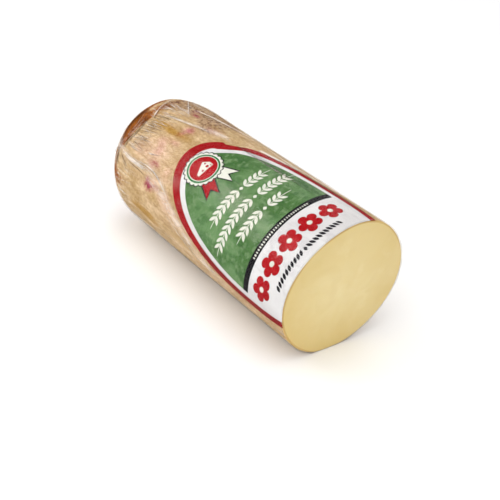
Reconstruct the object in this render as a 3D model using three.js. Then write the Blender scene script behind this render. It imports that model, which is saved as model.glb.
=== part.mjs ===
// Half of a smoked provolone log, cut square across, in its clear shrink film with a paper label.
// Millimetres, +Z up. The log lies along Y: the cut faces -Y and the rounded end faces +Y.
// The origin is under the middle of the log, on the surface that it lies on.
//
// Every piece is first made round, with the nominal radius, and then placed on the real log:
// an angle goes round the log from the top (+Z) towards +X, and "along" runs from the cut to the end.
import * as THREE from "three";

// The cheese.
const HALF_WIDTH = 63.5;
const HALF_HEIGHT = 59;
const SHOULDER = 214.8; // from the cut to where the end begins to round
const END_DEPTH = 41.6; // from the shoulder to the rim of the flat of the end
const END_CROWN = 2; // how far the middle of the end stands past that rim
const END_FLAT = 0.4; // radius of the flat of the end, as a share of the log's
const END_ROUNDNESS = 2.4; // exponent of the end's superellipse
const END_RISE = 37.5; // how far the end's middle would rise if it closed to a point
const TAPER = 0.05; // share of the radius that is lost from the cut to the shoulder
const SQUARENESS = 0.011; // share of the radius by which the film's pull squares the section
const SQUARE_ANGLE = THREE.MathUtils.degToRad(-78); // where that section stands out most
const AXIS_HEIGHT = 58.6; // of the log's middle above the surface, at the cut
const SETTLE = 1.5; // how far above the flat that it lies on the round underside starts to give

// The label: a paper arch over the top and the -X side, cut through with the cheese.
const LABEL_THICKNESS = 0.3;
const LABEL_LENGTH = 170.5; // from the cut to the top of the arch
const LABEL_WIDEST = 29.5; // from the cut to where the label is widest
const LABEL_HALF_ANGLE = THREE.MathUtils.degToRad(65.5);
const LABEL_ANGLE = THREE.MathUtils.degToRad(-45); // of its middle line, near the cut
const LABEL_LEAN = THREE.MathUtils.degToRad(8); // how far the arch's top leans back to the top
const LABEL_TUCK = 100; // half length of the ellipse that draws the sides in at the cut
const LABEL_LAST_ROW = 0.97; // the rows stop here, on a short straight edge

// The film: a thin sleeve, shut over the end, where its corners are drawn out into ears.
const FILM_THICKNESS = 0.3;
const GAP = 0.4; // between one layer and the next
const EAR_ALONG = 236;
const EAR_ANGLES = [-67, 113].map(THREE.MathUtils.degToRad);
const EAR_HEIGHT = 3.5;
const EAR_RADIUS = 9;
const SEAM_HEIGHT = 1.2; // of the welded seam that runs over the end from ear to ear
const SEAM_WIDTH = 6;

// Facets.
const NOMINAL_RADIUS = 60;
const SIDES = 72;
const BODY_ROWS = 6;
const FILM_BODY_ROWS = 9;
const END_ROWS = 7;
const FLAT_ROWS = 2;
const LABEL_COLUMNS = 22;
const LABEL_ROWS = 18;

const LABEL_LIFT = GAP;
const FILM_LIFT = LABEL_LIFT + LABEL_THICKNESS + GAP;
const FILM_TOP_LIFT = FILM_LIFT + FILM_THICKNESS;
const CHEESE_FLOOR = FILM_THICKNESS + GAP;
const LOG_LENGTH = SHOULDER + END_DEPTH + END_CROWN + FILM_TOP_LIFT + SEAM_HEIGHT;

// The log's own shape -------------------------------------------------------------------------

function sectionRadius(angle) {
  const round = 1 / Math.hypot(Math.sin(angle) / HALF_WIDTH, Math.cos(angle) / HALF_HEIGHT);
  return round * (1 + SQUARENESS * Math.cos(4 * (angle - SQUARE_ANGLE)));
}

// The height of the underside once it has settled on its floor, with a soft bend into the flat.
function settle(height, floor) {
  const above = height - floor;
  if (above >= SETTLE) return height;
  return floor + Math.max(0, above + SETTLE) ** 2 / (4 * SETTLE);
}

// A point of the nominal round log, moved to the real one and settled on its floor.
function place(point, floor) {
  const angle = Math.atan2(point.x, point.z);
  const radius = Math.hypot(point.x, point.z);
  const along = point.y;
  const size = 1 - (TAPER * along) / SHOULDER;
  const rise = END_RISE * Math.max(0, 1 - radius / NOMINAL_RADIUS);
  const reach = (radius / NOMINAL_RADIUS) * sectionRadius(angle) * size;
  const middle = AXIS_HEIGHT - HALF_HEIGHT * (1 - size) + rise;
  const height = settle(middle + reach * Math.cos(angle), floor);
  return point.set(reach * Math.sin(angle), along - LOG_LENGTH / 2, height);
}

function moveVertices(geometry, change) {
  const positions = geometry.getAttribute("position");
  const point = new THREE.Vector3();
  for (let i = 0; i < positions.count; i += 1) {
    point.fromBufferAttribute(positions, i);
    change(point, i);
    positions.setXYZ(i, point.x, point.y, point.z);
  }
  geometry.computeVertexNormals();
  return geometry;
}

// The nominal profile from the cut to the axis at the end, lifted square to its own surface.
function wallProfile(lift, bodyRows) {
  const points = [];
  for (let i = 0; i <= bodyRows; i += 1) {
    points.push(new THREE.Vector2(NOMINAL_RADIUS + lift, (SHOULDER * i) / bodyRows));
  }
  const steepness = NOMINAL_RADIUS * (1 - END_FLAT);
  for (let i = 1; i <= END_ROWS; i += 1) {
    const turn = (Math.PI / 2) * (i / END_ROWS);
    const across = Math.cos(turn) ** (2 / END_ROUNDNESS);
    const depth = Math.sin(turn) ** (2 / END_ROUNDNESS);
    const radius = NOMINAL_RADIUS * END_FLAT + steepness * across;
    const normal = new THREE.Vector2(
      across ** (END_ROUNDNESS - 1) / steepness,
      depth ** (END_ROUNDNESS - 1) / END_DEPTH,
    ).normalize();
    const point = new THREE.Vector2(radius, SHOULDER + END_DEPTH * depth);
    points.push(point.addScaledVector(normal, lift));
  }
  for (let i = 1; i <= FLAT_ROWS; i += 1) {
    const share = 1 - i / FLAT_ROWS;
    const crown = END_CROWN * (1 - share * share);
    const radius = NOMINAL_RADIUS * END_FLAT * share;
    points.push(new THREE.Vector2(radius, SHOULDER + END_DEPTH + crown + lift));
  }
  return points;
}

// The pieces ----------------------------------------------------------------------------------

function makeCheese() {
  const cutMiddle = new THREE.Vector2(0, 0);
  const profile = [cutMiddle, ...wallProfile(0, BODY_ROWS)];
  const geometry = new THREE.LatheGeometry(profile, SIDES);
  return moveVertices(geometry, (point) => place(point, CHEESE_FLOOR));
}

function labelHalfAngle(along) {
  const reach = along > LABEL_WIDEST ? LABEL_LENGTH - LABEL_WIDEST : LABEL_TUCK;
  return LABEL_HALF_ANGLE * Math.sqrt(1 - ((along - LABEL_WIDEST) / reach) ** 2);
}

function labelMiddle(along) {
  const risen = Math.max(0, along - LABEL_WIDEST) / (LABEL_LENGTH - LABEL_WIDEST);
  return LABEL_ANGLE + LABEL_LEAN * risen * risen;
}

// A flat unit box whose width, height and thickness become the arch's span, length and thickness.
function makeLabel() {
  const geometry = new THREE.BoxGeometry(1, 1, 1, LABEL_COLUMNS, LABEL_ROWS, 1);
  return moveVertices(geometry, (point) => {
    const row = (point.y + 0.5) * LABEL_LAST_ROW;
    const along = LABEL_LENGTH * Math.sin((row * Math.PI) / 2);
    const angle = labelMiddle(along) + 2 * point.x * labelHalfAngle(along);
    const radius = NOMINAL_RADIUS + LABEL_LIFT + (point.z + 0.5) * LABEL_THICKNESS;
    point.set(radius * Math.sin(angle), along, radius * Math.cos(angle));
    place(point, CHEESE_FLOOR);
  });
}

// How far the film's outside stands up at a point of the nominal log.
function filmRelief(point) {
  const radius = Math.hypot(point.x, point.z);
  let height = 0;
  for (const earAngle of EAR_ANGLES) {
    const x = NOMINAL_RADIUS * Math.sin(earAngle);
    const z = NOMINAL_RADIUS * Math.cos(earAngle);
    const distance = Math.hypot(point.x - x, point.y - EAR_ALONG, point.z - z);
    height = Math.max(height, EAR_HEIGHT * (1 - distance / EAR_RADIUS));
  }
  const aside = Math.abs(Math.sin(Math.atan2(point.x, point.z) - EAR_ANGLES[0])) * radius;
  const onEnd = THREE.MathUtils.smoothstep(point.y, EAR_ALONG, SHOULDER + END_DEPTH);
  return Math.max(height, SEAM_HEIGHT * onEnd * Math.max(0, 1 - aside / SEAM_WIDTH));
}

// A cup on its side: the outer wall from the cut to the end's middle, and the inner wall back.
function makeFilm() {
  const outer = wallProfile(FILM_TOP_LIFT, FILM_BODY_ROWS);
  const inner = wallProfile(FILM_LIFT, BODY_ROWS).reverse();
  const profile = [...outer, ...inner, outer[0]];
  const geometry = new THREE.LatheGeometry(profile, SIDES);
  return moveVertices(geometry, (point, i) => {
    const step = i % profile.length;
    const isOuter = step < outer.length || step === profile.length - 1;
    if (isOuter) {
      const outward = new THREE.Vector3(point.x, Math.max(0, point.y - SHOULDER), point.z);
      point.addScaledVector(outward.normalize(), filmRelief(point));
    }
    place(point, isOuter ? 0 : FILM_THICKNESS);
  });
}

// The scene -----------------------------------------------------------------------------------

function addPiece(group, name, geometry, look) {
  const mesh = new THREE.Mesh(geometry, new THREE.MeshStandardMaterial(look));
  mesh.name = name;
  group.add(mesh);
}

const provolone = new THREE.Group();
addPiece(provolone, "cheese", makeCheese(), { color: 0xe2cd91, roughness: 0.5, metalness: 0 });
addPiece(provolone, "label", makeLabel(), { color: 0x5a9655, roughness: 0.35, metalness: 0 });
addPiece(provolone, "film", makeFilm(), {
  color: 0xf5ece0,
  roughness: 0.1,
  metalness: 0,
  transparent: true,
  opacity: 0.3,
});

export default provolone;
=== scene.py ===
"""Half of a smoked provolone log, cut square across, in clear shrink film over an arched paper label.

Shapes are worked out in millimetres and written in metres, +Z up. The log lies along Y: its cut faces -Y.
An angle goes round the log from the top towards +X, and "along" runs from the cut to the closed end.
A flat sheet of wall has x round the log, y along its surface from the cut, and z out of it. A place's
"distance" is that y: it goes on over the rounded end, where "along" hardly grows any more.
"""

import math

import bpy
import numpy as np
from mathutils import Matrix, Vector


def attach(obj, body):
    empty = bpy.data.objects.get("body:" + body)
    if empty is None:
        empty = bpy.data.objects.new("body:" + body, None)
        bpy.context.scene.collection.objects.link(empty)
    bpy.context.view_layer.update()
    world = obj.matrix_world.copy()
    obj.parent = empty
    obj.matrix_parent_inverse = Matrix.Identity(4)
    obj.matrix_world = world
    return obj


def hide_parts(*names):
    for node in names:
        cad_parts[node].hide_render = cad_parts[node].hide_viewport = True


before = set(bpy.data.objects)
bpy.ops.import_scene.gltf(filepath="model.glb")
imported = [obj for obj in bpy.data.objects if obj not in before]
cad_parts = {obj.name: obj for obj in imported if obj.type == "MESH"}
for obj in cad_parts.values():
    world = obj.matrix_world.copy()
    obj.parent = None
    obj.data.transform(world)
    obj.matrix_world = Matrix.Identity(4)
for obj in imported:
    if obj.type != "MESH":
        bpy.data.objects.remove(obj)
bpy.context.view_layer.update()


MM = 0.001
TURN = 2 * math.pi

# The log, as its solids have it.
HALF_WIDTH = 63.5
HALF_HEIGHT = 59
SHOULDER = 214.8  # from the cut to where the end begins to round
END_DEPTH = 41.6  # from the shoulder to the rim of the flat of the end
END_CROWN = 2  # how far the middle of the end stands past that rim
END_FLAT = 0.4  # radius of the flat of the end, as a share of the log's
END_ROUNDNESS = 2.4  # exponent of the end's superellipse
END_RISE = 37.5  # how far the end's middle would rise if it closed to a point
TAPER = 0.05  # share of the radius that is lost from the cut to the shoulder
SQUARENESS = 0.011  # share of the radius by which the film's pull squares the section
SQUARE_ANGLE = math.radians(-78)  # where that section stands out most
AXIS_HEIGHT = 58.6  # of the log's middle above the surface, at the cut
SETTLE = 1.5  # how far above its flat the round underside starts to give
LOG_LENGTH = 261
NOMINAL_RADIUS = 60  # of the plain round log on which everything is first laid out

# The label, as its solid has it.
LABEL_LENGTH = 170.5  # from the cut to the top of the arch
LABEL_WIDEST = 29.5  # from the cut to where the label is widest
LABEL_REACH = LABEL_LENGTH - LABEL_WIDEST
LABEL_HALF_ANGLE = math.radians(65.5)
LABEL_ANGLE = math.radians(-45)  # of its middle line, near the cut
LABEL_LEAN = math.radians(8)  # how far the arch's top leans back to the top of the log
LABEL_TUCK = 100  # half length of the ellipse that draws the sides in at the cut

# The layers, as heights above the nominal wall.
RIND_LIFT = 0.35
PAPER_BACK = 0.7
PAPER_FRONT = 0.85
FILM_INSIDE = 1.1
FILM_OUTSIDE = 1.25

SWELL = 0.22  # by which all the layers rise and fall together

# How much of each fold in the film shows in the layers under it.
FOLD_IN_RIND = 0.15
FOLD_IN_LABEL = 0.255

# How far each layer stays above the surface that the log lies on.
RIND_FLOOR = 0.45
PAPER_FLOOR = 0.4
FILM_INSIDE_FLOOR = 0.2
FILM_FLOOR = 0

# The film's closed end: fine gathers, two ears, and a ribbed weld over the end from one ear to the other.
PUCKERS = 120
EARS = [math.radians(-67), math.radians(113)]
EAR_ALONG = 236
EAR_HEIGHT = 3.2
EAR_RADIUS = 8
SEAM_HALF_WIDTH = 3.2
SEAM_HEIGHT = 1.0
RIB_PITCH = 1.7

# The log's own shape ----------------------------------------------------------------------------


def trace_wall():
    """The nominal wall from the cut to the middle of the end: its points and the direction square to it."""
    straight = np.linspace(0, SHOULDER, 80, endpoint=False)
    turn = np.linspace(0, math.pi / 2, 1500)
    across = np.cos(turn).clip(0) ** (2 / END_ROUNDNESS)
    depth = np.sin(turn) ** (2 / END_ROUNDNESS)
    share = np.linspace(1, 0, 120)[1:]
    flat = NOMINAL_RADIUS * END_FLAT
    rim = SHOULDER + END_DEPTH
    body = np.full(len(straight), float(NOMINAL_RADIUS))
    radius = np.concatenate([body, flat + (NOMINAL_RADIUS - flat) * across, flat * share])
    along = np.concatenate([straight, SHOULDER + END_DEPTH * depth, rim + END_CROWN * (1 - share**2)])
    step = np.hypot(np.diff(radius), np.diff(along))
    distance = np.concatenate([[0], np.cumsum(step)])
    outward, endward = np.gradient(along, distance), -np.gradient(radius, distance)
    size = np.hypot(outward, endward)
    return {
        "distance": distance,
        "radius": radius,
        "along": along,
        "outward": outward / size,
        "endward": endward / size,
    }


WALL = trace_wall()
WALL_END = WALL["distance"][-1]


def wall_at(distance, column):
    return np.interp(distance, WALL["distance"], WALL[column])


def distance_at(along):
    return float(np.interp(along, WALL["along"], WALL["distance"]))


def section_radius(angle):
    plain_oval = 1 / np.hypot(np.sin(angle) / HALF_WIDTH, np.cos(angle) / HALF_HEIGHT)
    return plain_oval * (1 + SQUARENESS * np.cos(4 * (angle - SQUARE_ANGLE)))


def settle(height, floor):
    """The underside's height where it has settled on the surface, with a soft bend into the flat."""
    above = height - floor
    soft = floor + np.maximum(0, above + SETTLE) ** 2 / (4 * SETTLE)
    return np.where(above >= SETTLE, height, soft)


def place(angle, radius, along, floor, rise=0):
    """Points of the nominal round log, moved to the real one, in metres."""
    size = 1 - TAPER * along / SHOULDER
    reach = radius / NOMINAL_RADIUS * section_radius(angle) * size
    middle = AXIS_HEIGHT - HALF_HEIGHT * (1 - size) + rise
    height = settle(middle + reach * np.cos(angle), floor)
    return np.stack([reach * np.sin(angle), along - LOG_LENGTH / 2, height], -1) * MM


def on_wall(angle, distance, lift, floor):
    """Points at a height above the wall, square to it, in metres."""
    radius = wall_at(distance, "radius")
    rise = END_RISE * np.maximum(0, 1 - radius / NOMINAL_RADIUS)
    along = wall_at(distance, "along") + lift * wall_at(distance, "endward")
    return place(angle, radius + lift * wall_at(distance, "outward"), along, floor, rise)


def end_tip(lift, floor):
    """The one point where a layer closes on the middle of the end."""
    return on_wall(np.zeros(1), np.full(1, WALL_END), lift, floor)


def log_grid(columns, *spans):
    """Rows of points all round the log, as angles and distances; a span is a start, a stop and a count."""
    around = np.arange(columns) * TURN / columns - math.pi
    return np.meshgrid(around, np.concatenate([np.linspace(*span) for span in spans]))


# Soft fields over the wall ----------------------------------------------------------------------


def smooth(value, start, stop):
    share = np.clip((value - start) / (stop - start), 0, 1)
    return share * share * (3 - 2 * share)


def window(value, rise, fall):
    """0 before the rise, 1 between it and the fall, and 0 again after that."""
    return smooth(value, *rise) * (1 - smooth(value, *fall))


def turned(angle, middle=0.0):
    """The angle from a middle one, from minus half a turn to half a turn."""
    return (angle - middle + math.pi) % TURN - math.pi


def ripples(angle, distance, count, around, along, seed):
    """A soft uneven field from -1 to 1 or so, the same after one turn round the log."""
    rng = np.random.default_rng(seed)
    field = np.zeros(np.broadcast(angle, distance).shape)
    for _ in range(count):
        turns = rng.integers(0, around + 1)
        pitch = rng.uniform(-along, along)
        field += np.sin(turns * angle + pitch * distance + rng.uniform(0, TURN))
    return field / math.sqrt(count)


def spot(angle, distance, middle, along, half_angle, half_length):
    """1 in the middle of an oval patch of the wall, fading out to its edge and beyond."""
    x = np.degrees(turned(angle, math.radians(middle))) / half_angle
    y = (distance - distance_at(along)) / half_length
    return np.exp(-1.4 * (x * x + y * y) ** 1.3)


def patches(rows, angle, distance):
    """The sum of some spots: a row is its strength, angle, place along, half angle and half length."""
    return sum(strength * spot(angle, distance, *oval) for strength, *oval in rows)


def arch_middle(along):
    """The angle of the label's middle line."""
    risen = np.maximum(0, along - LABEL_WIDEST) / LABEL_REACH
    return LABEL_ANGLE + LABEL_LEAN * risen**2


def arch_length(along, reach):
    """The half length of an arch's ellipse: its reach past the widest place, and LABEL_TUCK before that."""
    return np.where(along > LABEL_WIDEST, reach, LABEL_TUCK)


def arch_share(angle, along, half_angle, reach):
    """0 in the middle of an arch, 1 on its edge, more outside it."""
    across = (angle - arch_middle(along)) / half_angle
    return np.hypot(across, (along - LABEL_WIDEST) / arch_length(along, reach))


def rounded_path(path):
    """The corners of a path, laid on the flat sheet of wall, with its bends rounded."""
    corners = np.array([(math.radians(a) * NOMINAL_RADIUS, distance_at(along)) for a, along in path])
    for _ in range(3):
        near = 0.75 * corners[:-1] + 0.25 * corners[1:]
        far = 0.25 * corners[:-1] + 0.75 * corners[1:]
        cut = np.stack([near, far], 1).reshape(-1, 2)
        corners = np.concatenate([corners[:1], cut, corners[-1:]])
    return corners


def from_path(path, angle, distance, reach):
    """Which points of the wall are near a path, how far each is to one side of it, and its way along it."""
    corners = rounded_path(path)
    middle = corners[:, 0].mean()
    x = turned(angle, middle / NOMINAL_RADIUS) * NOMINAL_RADIUS + middle
    low, high = corners.min(0) - reach, corners.max(0) + reach
    near = (x > low[0]) & (x < high[0]) & (distance > low[1]) & (distance < high[1])
    points = np.stack([x[near], distance[near]], -1)
    best = np.full(len(points), 1e9)
    side = np.zeros(len(points))
    way = np.zeros(len(points))
    for i in range(len(corners) - 1):
        start, run = corners[i], corners[i + 1] - corners[i]
        share = np.clip((points - start) @ run / (run @ run), 0, 1)
        off = points - start - share[:, None] * run
        away = np.hypot(off[:, 0], off[:, 1])
        nearer = away < best
        best = np.where(nearer, away, best)
        side = np.where(nearer, np.sign(run[0] * off[:, 1] - run[1] * off[:, 0]), side)
        way = np.where(nearer, (i + share) / (len(corners) - 1), way)
    return near, best * side, way


def path_share(rows, angle, distance):
    """How near the wall is to some paths; a row is a path, its half width and its strength, from 0 to 1."""
    share = np.zeros(angle.shape)
    for path, half_width, strength in rows:
        near, away, way = from_path(path, angle, distance, 4 * half_width)
        fade = np.clip(np.minimum(way, 1 - way) / 0.15, 0, 1)
        share[near] = np.maximum(share[near], strength * fade * np.exp(-((away / half_width) ** 2)))
    return share


# The film's folds -------------------------------------------------------------------------------

# A fold is a path of (angle in degrees, along), its half width, its height, how milky it is from 0 to 1,
# and how wide a bundle of pleats it is drawn into. The shown folds lie on the top and the labelled side.
SHOWN_FOLDS = [
    (
        [(-68, 236), (-69, 220), (-69, 205), (-68, 192), (-69.5, 182), (-73, 172), (-79, 158)],
        2.7, 0.5, 0.62, 2.0,
    ),
    ([(-66, 208), (-65.5, 190), (-68, 176), (-75, 160), (-84, 146)], 3.4, 0.2, 0.5, 0.6),
    ([(-70, 192), (-75, 168), (-85, 144), (-96, 122), (-106, 98), (-112, 70)], 4.6, 0.25, 0.75, 0),
    ([(-84, 164), (-98, 132), (-110, 98), (-116, 66)], 2.2, 0.25, 0.25, 0.6),
    ([(-67, 236), (-64, 241), (-58, 245)], 0.9, 0.4, 0.6, 0.4),
    ([(-67, 236), (-72, 241), (-79, 243)], 0.9, 0.4, 0.6, 0.4),
    (
        [(-22, 226), (-19, 216), (-15, 201), (-11, 185), (-8, 172), (-5.5, 161), (-5, 148)],
        1.6, 0.4, 0.62, 0.9,
    ),
    # This broad fold is real, and its milk also paints a pale highlight on the film near the label's top.
    ([(-8, 178), (-5, 168), (-3, 156)], 3.2, 0.2, 0.65, 0),
    ([(-5, 146), (-4.4, 116), (-3, 84), (-1.2, 53)], 1.2, 0.3, 0.12, 0.2),
    ([(20, 240), (10, 230), (2, 220), (-5, 211), (-9, 204)], 0.9, 0.35, 0.5, 0.35),
    ([(-66, 236), (-60, 235), (-52, 232.6), (-43, 233), (-34, 236), (-27, 236)], 1.3, 0.8, 0.12, 0.3),
    ([(-64, 238), (-56, 236.6), (-48, 236.2), (-40, 238.4), (-29, 244)], 0.6, 0.3, 0.2, 0.3),
    ([(-57, 202), (-55.5, 196), (-53.5, 189)], 0.8, 0.4, 0.5, 0.3),
    ([(-30, 229), (-24, 233), (-18, 236), (-12, 233)], 0.9, 0.4, 0.5, 0.35),
    ([(-18, 236), (-12, 228), (-6, 222)], 0.8, 0.35, 0.45, 0.3),
    ([(-20, 236), (-10, 239), (2, 243)], 0.9, 0.35, 0.5, 0.35),
    ([(18, 134), (17, 104), (20, 72), (23, 42)], 1.4, 0.3, 0.5, 0.6),
    # This fold's strong milk paints a pink highlight on the label's red border.
    ([(7.5, 130), (10.5, 114), (13.5, 100), (17, 88)], 2.2, 0.4, 0.95, 0.9),
    ([(6, 214), (14, 186), (19, 158), (22, 132)], 1.8, 0.35, 0.5, 0.8),
    ([(30, 205), (26, 168), (27, 120), (33, 70), (36, 30)], 2.2, 0.35, 0.5, 0.6),
]
HIDDEN_FOLDS = [
    ([(113, 236), (112, 205), (108, 184), (101, 160), (96, 132)], 2.2, 0.55, 0.6, 1.4),
    ([(116, 222), (121, 196), (127, 168), (129, 150)], 1.3, 0.45, 0.5, 0.5),
    ([(110, 232), (100, 214), (92, 200), (86, 182)], 1.1, 0.4, 0.5, 0.4),
    ([(113, 236), (104, 234), (93, 236), (84, 233)], 1.2, 0.7, 0.2, 0.3),
    ([(70, 210), (66, 172), (70, 130), (68, 86), (73, 40)], 2.0, 0.35, 0.45, 0.6),
    ([(95, 96), (90, 60), (93, 18)], 1.4, 0.3, 0.35, 0.3),
    ([(48, 236), (52, 214), (50, 196), (55, 176)], 1.0, 0.4, 0.5, 0.4),
    ([(52, 150), (56, 118), (52, 92)], 1.1, 0.25, 0.35, 0.3),
    ([(-124, 232), (-118, 206), (-121, 178), (-126, 150)], 1.3, 0.4, 0.5, 0.4),
    ([(-67, 236), (-78, 238), (-89, 235), (-99, 230)], 1.0, 0.4, 0.4, 0.4),
    ([(-70, 240), (-86, 250), (-112, 254.5)], 1.4, 0.4, 0.35, 0.4),
    ([(-64, 242), (-48, 252), (-14, 255.5)], 1.4, 0.35, 0.3, 0.4),
    ([(110, 240), (94, 250), (66, 254.5)], 1.4, 0.4, 0.35, 0.4),
    ([(116, 241), (134, 251), (166, 255)], 1.4, 0.35, 0.35, 0.4),
]
FOLDS = SHOWN_FOLDS + HIDDEN_FOLDS

# Thin dark lines of painted shade, laid over the film where it is folded back under itself: a path, a width,
# how dark it is.
SHADE_LINES = [
    ([(-66, 233.8), (-60, 232.6), (-52, 230.2), (-43, 230.6), (-36, 233.4), (-28, 233.6)], 0.5, 0.9),
    ([(-65, 234), (-58, 232.4), (-50, 230.9)], 0.6, 0.9),
    ([(-71.6, 222), (-72.4, 208), (-72.6, 198), (-74.5, 188)], 0.5, 0.5),
    ([(-70, 234), (-73, 226), (-76, 216)], 0.4, 0.4),
    ([(-19, 224), (-15.6, 210), (-12.4, 196), (-9, 182), (-6.6, 170)], 0.35, 0.4),
    ([(-57.5, 203), (-56, 197), (-53.2, 188)], 0.4, 0.7),
    ([(-4.3, 149), (-3.9, 128), (-2.6, 96), (-1, 56)], 0.5, 0.7),
    ([(9.9, 118), (12.8, 104), (16.4, 91)], 0.45, 0.8),
    ([(20.2, 14), (20.4, 34), (19.4, 60), (16.8, 84)], 0.7, 0.5),
    ([(16.6, 68), (15.4, 60)], 0.4, 0.7),
    ([(17.6, 52), (16.4, 46)], 0.35, 0.7),
    ([(20, 238), (10, 228.4), (2, 218.6), (-5, 209.6)], 0.35, 0.35),
    ([(-17, 234.6), (-10, 237.4), (2, 241)], 0.4, 0.4),
    ([(-30, 227.6), (-24, 231.6), (-18, 234.2)], 0.4, 0.4),
    ([(112, 233.6), (104, 231.6), (93, 233.6)], 0.6, 0.5),
    ([(110, 232), (109.6, 214), (107, 196)], 0.5, 0.5),
    ([(50, 234), (53.6, 214), (51.6, 196)], 0.35, 0.4),
]

# Where the film stays clear of haze, beside the fold that runs along the closed end.
CLEAR_PATHS = [([(-70, 235), (-62, 233.4), (-52, 230.8), (-43, 231.4), (-34, 235), (-26, 238)], 2.2, 0.9)]

# Patches of milk on the film that paint pale highlights and reflections on it.
PAINTED_SHEEN_PATCHES = [
    (0.26, -54, 60, 15, 18),
    (0.14, -48, 108, 9, 22),
    (0.42, -63, 156, 6, 11),
    (0.2, -74, 136, 5, 14),
    (0.26, -46, 92, 14, 26),
    (0.14, -8, 90, 12, 40),
    (0.2, -14, 243, 16, 10),
]


def folds(angle, distance):
    """How far the folds lift the film, and how creased it is: both over the whole wall."""
    height = np.zeros(angle.shape)
    crease = np.zeros(angle.shape)
    for path, half_width, rise, milk, _ in FOLDS:
        near, away, way = from_path(path, angle, distance, 4 * half_width)
        fade = np.clip(np.minimum(way / 0.12, (1 - way) / 0.3), 0, 1) ** 0.7
        ridge = np.exp(-np.abs(away / half_width) ** 1.4)
        height[near] = np.maximum(height[near], rise * ridge * fade)
        crease[near] = np.maximum(crease[near], milk * np.exp(-((away / half_width) ** 2)) * fade)
    return height, crease


def swell(angle, distance):
    """The uneven swell that the rind, the label and the film share; the cut itself is even."""
    uneven = ripples(angle, distance, count=14, around=7, along=0.06, seed=11)
    return SWELL * uneven * smooth(distance, 0, 22)


def puckers(angle, distance):
    """Fine gathers of the film that run over the shoulder to the closed end."""
    rng = np.random.default_rng(23)
    height = np.zeros(angle.shape)
    radius = np.maximum(wall_at(distance, "radius"), 6)
    for _ in range(PUCKERS):
        middle = rng.uniform(-math.pi, math.pi)
        slant = rng.uniform(-0.0035, 0.0035)
        start = SHOULDER + rng.uniform(-18, 26)
        stop = start + rng.uniform(16, 60)
        half_width = rng.uniform(0.55, 1.1)
        rise = rng.uniform(0.12, 0.38)
        away = turned(angle, middle + slant * (distance - start)) * radius
        length = window(distance, (start, start + 7), (stop - 12, stop))
        height = np.maximum(height, rise * length * np.exp(-((away / half_width) ** 2)))
    return height


def closed_end(angle, distance):
    """The heights of the two ears, and of the ribbed weld that runs over the end between them."""
    radius = wall_at(distance, "radius")
    past_ears = distance - distance_at(EAR_ALONG)
    ear = np.zeros(angle.shape)
    for middle in EARS:
        beside = turned(angle, middle) * radius
        petals = 1 + 0.25 * np.cos(5 * np.arctan2(past_ears, beside))
        share = np.hypot(beside, past_ears) / (EAR_RADIUS * petals)
        ear = np.maximum(ear, EAR_HEIGHT * np.clip(1 - share, 0, 1) ** 1.5)
    aside = np.sin(angle - EARS[0]) * radius
    across = np.cos(angle - EARS[0]) * radius
    on_end = smooth(wall_at(distance, "along"), EAR_ALONG, SHOULDER + END_DEPTH)
    bank = np.clip(1.35 * (1 - np.abs(aside) / SEAM_HALF_WIDTH), 0, 1)
    ribs = 1 + 0.18 * np.cos(across * TURN / RIB_PITCH)
    return ear, SEAM_HEIGHT * on_end * bank * ribs


def film_relief(angle, distance):
    """The film's own height above its layer, and how creased it is there."""
    folded, crease = folds(angle, distance)
    gathered = puckers(angle, distance)
    ear, seam = closed_end(angle, distance)
    height = np.maximum(folded, gathered) + np.maximum(ear, seam)
    creased = np.maximum(crease, 0.22 * gathered) * (1 - path_share(CLEAR_PATHS, angle, distance))
    # the patches' milk paints pale highlights and reflections on the film
    creased += 0.3 * ear + 0.4 * seam + patches(PAINTED_SHEEN_PATCHES, angle, distance)
    return height, np.clip(creased, 0, 1)


def drawn_lines(angle, distance):
    """Where the film is pulled into fine lines along the log, from 0 to 1: most near the closed end."""
    along = wall_at(distance, "along")
    from_top = turned(angle)
    patchy = 0.5 + 0.5 * ripples(angle, distance, count=16, around=9, along=0.07, seed=83)
    off_label = smooth(np.abs(turned(angle, LABEL_ANGLE + LABEL_LEAN / 2)), 0.75, 1.3)
    to_the_right = window(from_top, (0.0, 0.3), (0.6, 1.1))
    behind = smooth(from_top, 0.6, 1.1) + smooth(from_top, -2.1, -2.5)
    beside_label = (0.4 + 0.45 * to_the_right - 0.25 * behind) * off_label
    drawn = np.maximum(0.75 * smooth(along, 196, 228), beside_label)
    tucked_in = window(from_top, (-1.25, -1.1), (-0.6, -0.4))
    on_top = window(from_top, (-0.5, -0.3), (0.6, 0.9))
    last = 232 - 2 * tucked_in + 7 * on_top
    drawn *= (0.35 + 0.8 * patchy) * (1 - smooth(along, last, last + 10))
    drawn *= 1 - path_share(CLEAR_PATHS, angle, distance)
    off_paper = smooth(arch_share(angle, along, LABEL_HALF_ANGLE, LABEL_REACH), 0.93, 1.1)
    return np.clip((drawn + 0.1 * (1 - smooth(along, 234, 246))) * off_paper + 0.02, 0, 1)


# Meshes -----------------------------------------------------------------------------------------


def make_object(name, points, faces, fields=None, slots=None, finishes=()):
    """A mesh piece from its points in metres, with one number per point for each named field."""
    mesh = bpy.data.meshes.new(name)
    mesh.from_pydata(np.asarray(points, float).tolist(), [], [list(map(int, face)) for face in faces])
    for finish in finishes:
        mesh.materials.append(finish)
    for field, values in (fields or {}).items():
        numbers = np.ravel(values).astype(np.float32)
        mesh.attributes.new(field, "FLOAT", "POINT").data.foreach_set("value", numbers)
    if slots is not None:
        mesh.polygons.foreach_set("material_index", np.asarray(slots, np.int32))
    mesh.polygons.foreach_set("use_smooth", np.ones(len(mesh.polygons), bool))
    mesh.update()
    piece = bpy.data.objects.new(name, mesh)
    bpy.context.scene.collection.objects.link(piece)
    return piece


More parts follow.
